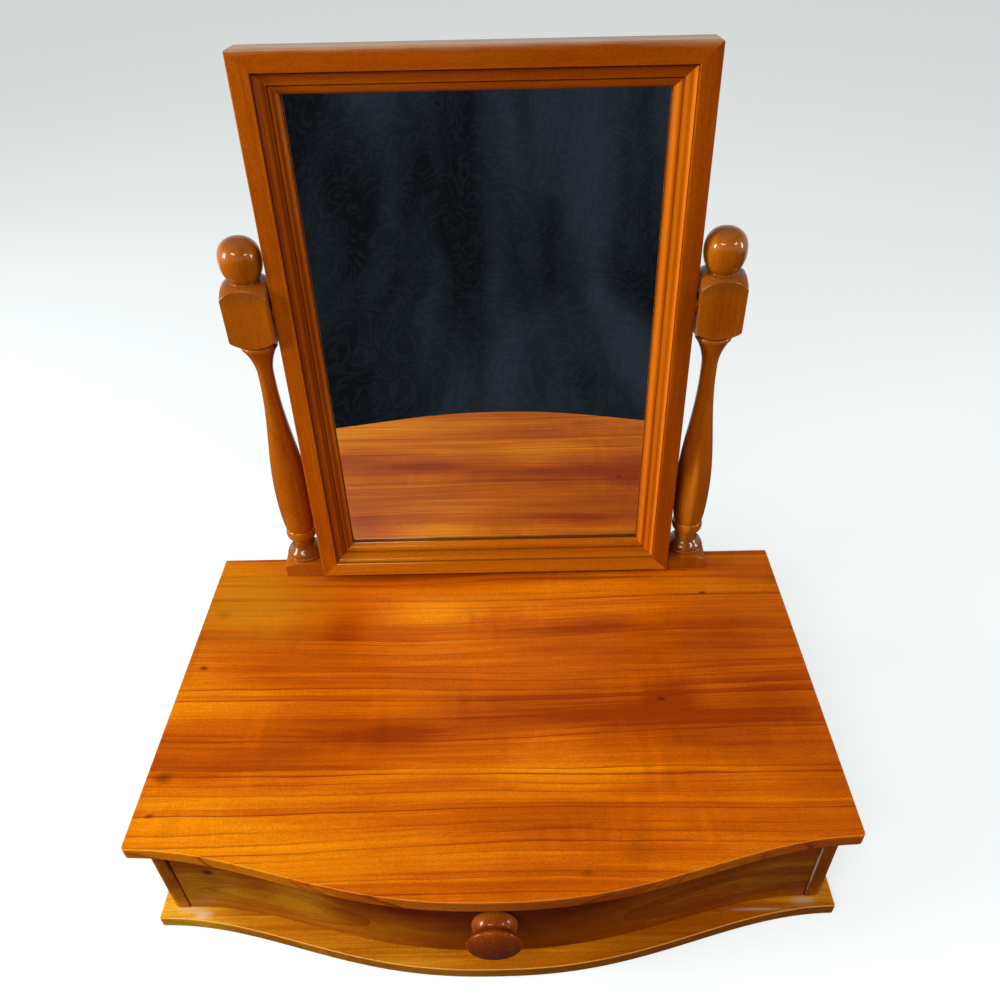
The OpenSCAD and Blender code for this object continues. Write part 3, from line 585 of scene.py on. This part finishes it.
for side, name in ((-1, "pillar_left"), (1, "pillar_right")):
    bm = bmesh.new()
    squared(bm, lambda r: 0, lambda r: plinth_h - max(0, r - foot_r) * plinth_fall)
    squared(bm, lambda r: skirt_z - sqrt(skirt_r ** 2 - r * r),
            lambda r: block_high - crown_drop * (max(0, r - crown_r) / (corner - crown_r)) ** 1.9)
    turned(bm, shaft)
    turned(bm, egg)
    bmesh.ops.translate(bm, vec=(0, pillar_y, 0), verts=bm.verts)
    # The tongue lies 0.05 mm inside the plinth's faces, so that no two of them coincide
    tongue = block((0.05 - half, back_y, tongue_low), (half - 0.05, tongue_back, tongue_top))
    ease(tongue, 0.6, 2, lambda e: True)
    joined = bpy.data.meshes.new("tongue")
    tongue.to_mesh(joined)
    tongue.free()
    bm.from_mesh(joined)
    bmesh.ops.translate(bm, vec=(side * pillar_x, 0, deck), verts=bm.verts)
    finish(name + "_turned", bm, pillar_wood, "case", "pillar_wood", name)

bm = bmesh.new()
for x in (-pillar_x, pillar_x):
    for z in (92, 71):
        slotted_head(bm, 3.5, 1.2, 0.9, Matrix.Translation((x, screw_y, z)) @ Matrix.Rotation(-pi / 2, 4, "X"))
finish("pillar_screws_slotted", bm, brass, "case", "brass", "pillar_screws")


# ---- Mirror frame ----
# Four rails of one moulding, mitred at the corners: a flat band outside, a step down to a
# cove, a second step and an ovolo that runs to the glass. A rebate behind takes the glass.

frame_w, frame_h, frame_t, glass_depth, pivot_z, tilt = 276.4, 380, 19, 11.5, 324.5, radians(3)
low_z, high_z = -223.2, 156.8
middle_z = (low_z + high_z) / 2
hung = Matrix.Translation((0, pillar_y, pivot_z)) @ Matrix.Rotation(-tilt, 4, "X")
quarter = [pi / 2 * i / 10 for i in range(11)]
section = ([(1.2 - 1.2 * sin(a), 1.2 - 1.2 * cos(a)) for a in reversed(quarter)]
           + [(12.0, 0), (12.3, 0.25), (12.4, 2.0), (12.9, 2.1), (13.1, 1.5)]
           + [(19.3 - 6.2 * cos(a), 1.5 + 3.5 * sin(a)) for a in quarter[1:]]
           + [(19.4, 7.3), (19.8, 7.4), (19.9, 6.8)]
           + [(19.9 + 4.7 * sin(a), 10.5 - 3.7 * cos(a)) for a in quarter]
           + [(25, 10.6), (25, glass_depth), (17, glass_depth), (17, frame_t), (1, frame_t), (0, 18)])


def rail(length, place, round_r=2.5):
    """A mitred rail along X, its outer edge at z = 0, its outer corners rounded."""
    bm = bmesh.new()
    ring = [bm.verts.new((-length / 2 - 1, depth - frame_t / 2, inward)) for inward, depth in section]
    grown = bmesh.ops.extrude_face_region(bm, geom=[bm.faces.new(ring)])["geom"]
    bmesh.ops.translate(bm, vec=(length + 2, 0, 0), verts=verts_of(grown))
    for side in (-1, 1):
        # Plane cuts round the corner off, and the last one is the mitre itself
        cuts = [((side * (length / 2 - round_r + round_r * sin(a)), 0, round_r - round_r * cos(a)),
                 (side * sin(a), 0, -cos(a))) for a in [radians(d) for d in (11, 22, 33, 44)]]
        for spot, away in cuts + [((side * length / 2, 0, 0), (side, 0, 1))]:
            cut = bmesh.ops.bisect_plane(bm, geom=bm.verts[:] + bm.edges[:] + bm.faces[:], dist=0.0001,
                                         plane_co=spot, plane_no=away, clear_outer=True)["geom_cut"]
            bmesh.ops.holes_fill(bm, edges=[g for g in cut if isinstance(g, bmesh.types.BMEdge)], sides=0)
    bmesh.ops.transform(bm, matrix=hung @ place, verts=bm.verts)
    return bm


look = {"tones": ("#8c3a02", "#b05403", "#cc7406"), "line": "#642002", "ring": 7,
        "sway": 8, "strength": 0.35, "coat": 0.2, "contrast": 0.7}
# Painted light on the bottom rail, whose mouldings face up, and painted shade on the top rail, whose mouldings
# face down; a pale strip along the top rail's upper face is a painted reflection. The right stile's outer band
# is darker, painted shade away from the light at the left.
rail_wood = wood("cherry_lacquered_rails", "x", (30, 190), **look,
                 zones=(((0, 140, 90), (999, 99, 60), 0.35), ((0, 140, 470), (999, 99, 40), -0.14)),
                 spots=(((0, 132, 483), (999, 99, 5), 0.6, "#c8a47a"),))
stile_wood = wood("cherry_lacquered_stiles", "z", (100, 260), **look,
                  zones=(((134, 140, 300), (14, 99, 2000), -0.2),))
for grain, depth in ((rail_wood, 0.7), (stile_wood, 0.45)):
    # How far in from the frame's nearest outer edge a place on its face is, in millimetres
    place = add(grain, "ShaderNodeMapping", {
        "Vector": add(grain, "ShaderNodeTexCoord")["Object"], "Scale": (1000, 1000, 1000),
        "Rotation": (tilt, 0, 0), "Location": hung.inverted().translation})[0]
    away = add(grain, "ShaderNodeSeparateXYZ", {0: place})
    side = calc(grain, "SUBTRACT", frame_w / 2, calc(grain, "ABSOLUTE", away["X"]))
    end = calc(grain, "ABSOLUTE", calc(grain, "ADD", away["Z"], -middle_z))
    end = calc(grain, "SUBTRACT", frame_h / 2, end)
    inward = calc(grain, "MINIMUM", side, end)
    # Behind the moulding it falls far below zero, which keeps the back of the frame plain
    inward = calc(grain, "SUBTRACT", inward, spread(grain, away["Y"], 3, 5, 0, 99))
    shader = grain.node_tree.nodes["Principled BSDF"]
    colour = shader.inputs["Base Color"].links[0].from_socket
    # Painted shade, dark in the two quirks and a little in the cove between them
    for middle, reach, dark in ((12.7, 0.8, 0.75), (19.6, 0.7, 0.65), (15.6, 3.4, 0.2)):
        off = calc(grain, "ABSOLUTE", calc(grain, "SUBTRACT", inward, middle))
        off = spread(grain, off, 0.25 * reach, reach, dark * depth, 0, "SMOOTHSTEP")
        colour = blend(grain, off, colour, "#4a1602")
    if grain == stile_wood:
        # Painted light and shade on the stiles' mouldings: shade at the left, light and reflection
        # bright at the right, most on the ridges, which follow each other every 4.45 mm
        ridge_rate, ridge_start, ridge_swing, ridge_mean = 1.412, 19.2, 0.26, 0.42
        right = spread(grain, away["X"], -1, 1)
        moulded = spread(grain, inward, 11.6, 13, 0, 1, "SMOOTHSTEP")
        ridge_light = calc(grain, "COSINE", calc(grain, "MULTIPLY_ADD", inward, ridge_rate, -ridge_start))
        ridge_light = calc(grain, "MULTIPLY_ADD", ridge_light, ridge_swing, ridge_mean)
        moulded = calc(grain, "MULTIPLY", moulded, ridge_light)
        moulded = calc(grain, "MULTIPLY", moulded, spread(grain, right, 0, 1, 1.2, 0.95))
        colour = blend(grain, moulded, colour, blend(grain, right, "#6a2404", "#ff8a12"))
    grain.node_tree.links.new(colour, shader.inputs["Base Color"])
for name, length, place, turn, grain in (
        ("frame_bottom_rail", frame_w, (0, 0, low_z), 0, rail_wood),
        ("frame_top_rail", frame_w, (0, 0, high_z), pi, rail_wood),
        ("frame_stile_left", frame_h, (-frame_w / 2, 0, middle_z), pi / 2, stile_wood),
        ("frame_stile_right", frame_h, (frame_w / 2, 0, middle_z), -pi / 2, stile_wood)):
    shaped = rail(length, Matrix.Translation(place) @ Matrix.Rotation(turn, 4, "Y"))
    finish(name + "_moulded", shaped, grain, "mirror", "frame_wood", name)


# ---- Mirror glass ----
# A 3 mm sheet silvered on its back. What shows is the silver, 2 mm behind the edge of the
# moulding, so that the lip and its image stand a little apart.

glass_in, glass_t, covered, slope, sunken = 17.5, 3, 7.3, 0.3, 2
glass_y = glass_depth - frame_t / 2
bm = block((-frame_w / 2 + glass_in, glass_y, low_z + glass_in),
           (frame_w / 2 - glass_in, glass_y + glass_t, high_z - glass_in))
front = [f for f in bm.faces if f.normal.y < -0.9]
bmesh.ops.inset_region(bm, faces=front, thickness=covered, depth=0)
bmesh.ops.inset_region(bm, faces=front, thickness=slope, depth=0)
bmesh.ops.translate(bm, vec=(0, sunken, 0), verts=list({v for f in front for v in f.verts}))
bmesh.ops.transform(bm, matrix=hung, verts=bm.verts)
# Silvered float glass: a cool, nearly perfect mirror with the faintest film of dust
silver = blank(bpy.data.materials.new("mirror_silvered_glass"))
film = noise(silver, add(silver, "ShaderNodeTexCoord")["Object"], 30, 4)[0]
surface(silver, {"Base Color": blend(silver, film, "#dfe6e6", "#e8eeee"), "Metallic": 1.0,
                 "Roughness": spread(silver, film, 0.4, 0.8, 0.0, 0.02)})
finish("mirror_glass_silvered", bm, silver, "mirror", "mirror_glass", "mirror_glass")


# ---- Backing board, its pins, and the pivots ----
# Brown hardboard held in the rebate by headless pins. Steel pins in the stiles turn in the
# pillars' blocks, with a brass washer in each gap.

# Hardboard: matted dark brown fibres a few millimetres long
hardboard = blank(bpy.data.materials.new("hardboard"))
spot = add(hardboard, "ShaderNodeTexCoord")["Object"]
fibres = noise(hardboard, spot, 900, 4, 0.7)[0]
patches = noise(hardboard, spot, 40, 2)[0]
both = spread(hardboard, calc(hardboard, "MULTIPLY", fibres, patches), 0.12, 0.42)
surface(hardboard, {
    "Base Color": blend(hardboard, both, "#5a3c22", "#8a6238"), "Roughness": 0.7, "Specular IOR Level": 0.3,
    "Normal": add(hardboard, "ShaderNodeBump", {"Height": fibres, "Strength": 0.5, "Distance": 0.0002})[0]})
dress(hardboard, "backing_board")
dress(steel, "backing_pins", "pivot_pin_left", "pivot_pin_right")
dress(brass, "pivot_washer_left", "pivot_washer_right")


# ---- Floor, light and camera ----
# A plain pale floor under a pale sky, two window-like lamps, two ceiling strips, and two
# soft lamps that no reflection shows. A black card, of the kind used to keep a mirror dark,
# stands behind the camera and shows only in reflections.

def stage_plane(name, places, material):
    """A flat stage piece from its corners."""
    bm = bmesh.new()
    bm.faces.new([bm.verts.new(c) for c in places])
    mesh = bpy.data.meshes.new(name)
    bm.to_mesh(mesh)
    bm.free()
    made = bpy.data.objects.new(name, mesh)
    scene.collection.objects.link(made)
    made.data.materials.append(material)
    return made


def in_view(mat):
    """1 where the camera looks, straight or by way of gloss or glass, and 0 for scattered light."""
    path = add(mat, "ShaderNodeLightPath")
    seen = calc(mat, "MAXIMUM", path["Is Camera Ray"], path["Is Glossy Ray"])
    return calc(mat, "MAXIMUM", seen, path["Is Transmission Ray"])


# The floor glows a little in view, so that it stays pale, and sends less light up at the wood
pale = blank(bpy.data.materials.new("floor_pale"))
seen = in_view(pale)
matt = add(pale, "ShaderNodeBsdfDiffuse", {"Color": blend(pale, seen, "#6a6a6a", "#b4b8b8")})[0]
glow = add(pale, "ShaderNodeEmission", {
    "Color": linear("#e6ebea"), "Strength": calc(pale, "MULTIPLY", seen, 0.74)})[0]
add(pale, "ShaderNodeOutputMaterial", {"Surface": add(pale, "ShaderNodeAddShader", {0: matt, 1: glow})[0]})
stage_plane("floor", [(-9, -9, 0), (9, -9, 0), (9, 9, 0), (-9, 9, 0)], pale)

# The card has soft folds and a faint figure of scrolls, which are level lines of a noise
dark = blank(bpy.data.materials.new("card_black"))
spot = add(dark, "ShaderNodeTexCoord")["Object"]
folds = add(dark, "ShaderNodeMapping", {"Vector": spot, "Scale": (6, 1, 2), "Rotation": (0, 0, 0.2)})[0]
folds = spread(dark, noise(dark, folds, 1.1, 2)[0], 0.42, 0.75)
scrolls = add(dark, "ShaderNodeMapping", {"Vector": spot, "Scale": (1, 0.4, 1)})[0]
scrolls = add(dark, "ShaderNodeTexNoise", {"Vector": scrolls, "Scale": 13, "Detail": 1, "Distortion": 2.4})[0]
scrolls = calc(dark, "SINE", calc(dark, "MULTIPLY", scrolls, 34))
scrolls = spread(dark, scrolls, 0.3, 0.6, 0, 0.16, "SMOOTHSTEP")
shade = blend(dark, calc(dark, "ADD", folds, scrolls), "#101418", "#2c323b")
add(dark, "ShaderNodeOutputMaterial", {
    "Surface": add(dark, "ShaderNodeEmission", {"Color": shade, "Strength": 1.0})[0]})
for name, places in (
        ("card_flat", [(-1.6, -1.0, 0.0004), (1.6, -1.0, 0.0004), (1.6, 0.5, 0.0004), (-1.6, 0.5, 0.0004)]),
        ("card_upright", [(-1.6, -1.0, 0.0), (1.6, -1.0, 0.0), (1.6, -1.2, 0.42), (-1.6, -1.2, 0.42)])):
    card = stage_plane(name, places, dark)
    card.visible_camera = card.visible_diffuse = card.visible_shadow = False

# The pale backdrop turns to a grey ceiling overhead
world = blank(bpy.data.worlds.new("studio"))
scene.world = world
seen = in_view(world)
lift = add(world, "ShaderNodeSeparateXYZ", {0: add(world, "ShaderNodeTexCoord")["Generated"]})["Z"]
lift = calc(world, "MULTIPLY", spread(world, lift, 0.1, 0.6, 0, 1, "SMOOTHSTEP"), seen)
add(world, "ShaderNodeOutputWorld", {"Surface": add(world, "ShaderNodeBackground", {
    "Color": blend(world, lift, "#e6ebea", "#5c5e60"), "Strength": spread(world, seen, 0, 1, 0.16, 1.0)})[0]})

for name, place, aim, size, watts in (
        ("window_left", (-1.35, -0.30, 0.66), (0, 0, 0.2), (0.29, 0.46), 13),
        ("soft_left", (-1.5, 0.12, 0.5), (0, 0.05, 0.2), (0.8, 0.8), 11),
        ("window_right", (1.45, -0.12, 0.56), (0, 0, 0.2), (0.2, 0.42), 6),
        ("ceiling_left", (-0.42, -0.75, 1.0), (0, 0, 0.15), (0.5, 0.13), 4),
        ("ceiling_right", (0.92, -0.62, 0.95), (0, 0, 0.15), (0.36, 0.13), 3),
        ("soft_overhead", (-0.3, -0.1, 1.9), (0, 0, 0.1), (1.2, 1.0), 7)):
    data = bpy.data.lights.new(name, "AREA")
    data.shape, data.size, data.size_y, data.energy = "RECTANGLE", size[0], size[1], watts
    lamp = bpy.data.objects.new(name, data)
    scene.collection.objects.link(lamp)
    lamp.location = place
    lamp.rotation_euler = (Vector(aim) - Vector(place)).to_track_quat("-Z", "Y").to_euler()
    lamp.visible_camera = False
    lamp.visible_glossy = not name.startswith("soft")

# The camera stands close in front and above the mirror's top, looks down by 39 degrees and
# is rolled by about one
camera_place = (0.01876, -0.38335, 0.58146)
camera_turn, camera_down, camera_roll = 0.00316, 0.67737, -0.02198
camera = bpy.data.objects.new("camera", bpy.data.cameras.new("camera"))
camera.data.lens, camera.data.sensor_width, camera.data.shift_x = 30.92, 36, -0.0149
camera.matrix_world = (Matrix.Translation(camera_place) @ Matrix.Rotation(camera_turn, 4, "Z")
                       @ Matrix.Rotation(pi / 2 - camera_down, 4, "X") @ Matrix.Rotation(camera_roll, 4, "Z"))
scene.collection.objects.link(camera)
scene.camera = camera
scene.view_settings.view_transform = "Standard"
